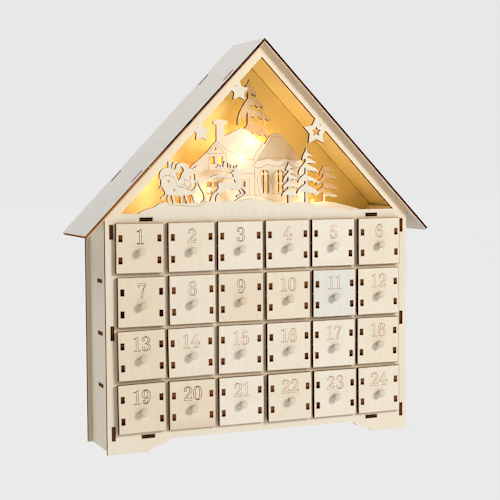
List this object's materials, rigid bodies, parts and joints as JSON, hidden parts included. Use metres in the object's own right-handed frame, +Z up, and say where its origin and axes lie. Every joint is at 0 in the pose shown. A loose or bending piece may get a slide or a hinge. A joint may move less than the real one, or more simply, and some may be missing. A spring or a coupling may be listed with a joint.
{
  "type": "wooden advent calendar house",
  "caption": "House-shaped plywood cabinet with small numbered drawers under a pitched roof and a lit winter scene in its window.",
  "frame": {"origin": "on the table under the middle of the whole box, roof and knobs included", "axes": "+Z up, the drawers face -Y, +X to the right as seen from the front"},
  "size_m": [0.3392, 0.0847, 0.37],
  "materials": {
    "front_ply": "pale basswood plywood, sanded, laser-burnt edges",
    "drawer_ply": "pale basswood plywood, sanded, laser-burnt edges",
    "inner_ply": "pale basswood plywood, raw",
    "roof_ply": "pale basswood plywood, raw",
    "scene_ply": "pale basswood plywood, engraved",
    "white_plastic": "moulded, satin",
    "lamp_glow": "clear resin lamp, lit warm",
    "steel": "nickel-plated strip",
    "cell_skin": "printed film, plain"
  },
  "bodies": {
    "cabinet": {"front_panel": "front_ply", "back_panel": "inner_ply", "left_wall": "inner_ply", "right_wall": "inner_ply", "base_panel": "inner_ply", "attic_floor": "inner_ply", "roof_left": "roof_ply", "roof_right": "roof_ply", "shelf_1": "inner_ply", "shelf_2": "inner_ply", "shelf_3": "inner_ply", "divider_1": "inner_ply", "divider_2": "inner_ply", "divider_3": "inner_ply", "divider_4": "inner_ply", "divider_5": "inner_ply", "runners_row_1": "inner_ply", "runners_row_2": "inner_ply", "runners_row_3": "inner_ply", "runners_row_4": "inner_ply", "cottage_layer": "scene_ply", "tree_layer": "scene_ply", "light_wire": "white_plastic", "lamps": "lamp_glow", "battery_case": "white_plastic", "batteries": "cell_skin", "battery_contacts": "steel", "switch_body": "steel"},
    "drawer_01": {"drawer_01": "drawer_ply"},
    "drawer_02": {"drawer_02": "drawer_ply"},
    "drawer_03": {"drawer_03": "drawer_ply"},
    "drawer_04": {"drawer_04": "drawer_ply"},
    "drawer_05": {"drawer_05": "drawer_ply"},
    "drawer_06": {"drawer_06": "drawer_ply"},
    "drawer_07": {"drawer_07": "drawer_ply"},
    "drawer_08": {"drawer_08": "drawer_ply"},
    "drawer_09": {"drawer_09": "drawer_ply"},
    "drawer_10": {"drawer_10": "drawer_ply"},
    "drawer_11": {"drawer_11": "drawer_ply"},
    "drawer_12": {"drawer_12": "drawer_ply"},
    "drawer_13": {"drawer_13": "drawer_ply"},
    "drawer_14": {"drawer_14": "drawer_ply"},
    "drawer_15": {"drawer_15": "drawer_ply"},
    "drawer_16": {"drawer_16": "drawer_ply"},
    "drawer_17": {"drawer_17": "drawer_ply"},
    "drawer_18": {"drawer_18": "drawer_ply"},
    "drawer_19": {"drawer_19": "drawer_ply"},
    "drawer_20": {"drawer_20": "drawer_ply"},
    "drawer_21": {"drawer_21": "drawer_ply"},
    "drawer_22": {"drawer_22": "drawer_ply"},
    "drawer_23": {"drawer_23": "drawer_ply"},
    "drawer_24": {"drawer_24": "drawer_ply"},
    "battery_lid": {"battery_lid": "white_plastic"},
    "switch_slider": {"switch_slider": "steel"}
  },
  "joints": [
    {"name": "drawer_01_slide", "type": "slide", "parent": "cabinet", "child": "drawer_01", "axis": [0, -1, 0], "range_m": [-0.00175, 0.04325]},
    {"name": "drawer_02_slide", "type": "slide", "parent": "cabinet", "child": "drawer_02", "axis": [0, -1, 0], "range_m": [-0.00125, 0.04375]},
    {"name": "drawer_03_slide", "type": "slide", "parent": "cabinet", "child": "drawer_03", "axis": [0, -1, 0], "range_m": [-0.001, 0.044]},
    {"name": "drawer_04_slide", "type": "slide", "parent": "cabinet", "child": "drawer_04", "axis": [0, -1, 0], "range_m": [-0.00125, 0.04375]},
    {"name": "drawer_05_slide", "type": "slide", "parent": "cabinet", "child": "drawer_05", "axis": [0, -1, 0], "range_m": [-0.001, 0.044]},
    {"name": "drawer_06_slide", "type": "slide", "parent": "cabinet", "child": "drawer_06", "axis": [0, -1, 0], "range_m": [-0.00175, 0.04325]},
    {"name": "drawer_07_slide", "type": "slide", "parent": "cabinet", "child": "drawer_07", "axis": [0, -1, 0], "range_m": [-0.0015, 0.0435]},
    {"name": "drawer_08_slide", "type": "slide", "parent": "cabinet", "child": "drawer_08", "axis": [0, -1, 0], "range_m": [-0.0005, 0.0445]},
    {"name": "drawer_09_slide", "type": "slide", "parent": "cabinet", "child": "drawer_09", "axis": [0, -1, 0], "range_m": [-0.0005, 0.0445]},
    {"name": "drawer_10_slide", "type": "slide", "parent": "cabinet", "child": "drawer_10", "axis": [0, -1, 0], "range_m": [-0.00175, 0.04325]},
    {"name": "drawer_11_slide", "type": "slide", "parent": "cabinet", "child": "drawer_11", "axis": [0, -1, 0], "range_m": [-0.0025, 0.0425]},
    {"name": "drawer_12_slide", "type": "slide", "parent": "cabinet", "child": "drawer_12", "axis": [0, -1, 0], "range_m": [-0.002, 0.043]},
    {"name": "drawer_13_slide", "type": "slide", "parent": "cabinet", "child": "drawer_13", "axis": [0, -1, 0], "range_m": [-0.0025, 0.0425]},
    {"name": "drawer_14_slide", "type": "slide", "parent": "cabinet", "child": "drawer_14", "axis": [0, -1, 0], "range_m": [-0.0015, 0.0435]},
    {"name": "drawer_15_slide", "type": "slide", "parent": "cabinet", "child": "drawer_15", "axis": [0, -1, 0], "range_m": [-0.00075, 0.04425]},
    {"name": "drawer_16_slide", "type": "slide", "parent": "cabinet", "child": "drawer_16", "axis": [0, -1, 0], "range_m": [-0.001, 0.044]},
    {"name": "drawer_17_slide", "type": "slide", "parent": "cabinet", "child": "drawer_17", "axis": [0, -1, 0], "range_m": [-0.0015, 0.0435]},
    {"name": "drawer_18_slide", "type": "slide", "parent": "cabinet", "child": "drawer_18", "axis": [0, -1, 0], "range_m": [-0.001, 0.044]},
    {"name": "drawer_19_slide", "type": "slide", "parent": "cabinet", "child": "drawer_19", "axis": [0, -1, 0], "range_m": [-0.00225, 0.04275]},
    {"name": "drawer_20_slide", "type": "slide", "parent": "cabinet", "child": "drawer_20", "axis": [0, -1, 0], "range_m": [-0.00075, 0.04425]},
    {"name": "drawer_21_slide", "type": "slide", "parent": "cabinet", "child": "drawer_21", "axis": [0, -1, 0], "range_m": [-0.001, 0.044]},
    {"name": "drawer_22_slide", "type": "slide", "parent": "cabinet", "child": "drawer_22", "axis": [0, -1, 0], "range_m": [-0.0025, 0.0425]},
    {"name": "drawer_23_slide", "type": "slide", "parent": "cabinet", "child": "drawer_23", "axis": [0, -1, 0], "range_m": [-0.0015, 0.0435]},
    {"name": "drawer_24_slide", "type": "slide", "parent": "cabinet", "child": "drawer_24", "axis": [0, -1, 0], "range_m": [-0.001, 0.044]},
    {"name": "battery_lid_slide", "type": "slide", "parent": "cabinet", "child": "battery_lid", "axis": [-1, 0, 0], "range_m": [0, 0.04]},
    {"name": "switch_slide", "type": "slide", "parent": "cabinet", "child": "switch_slider", "axis": [0, 0, 1], "range_m": [0, 0.003]}
  ]
}
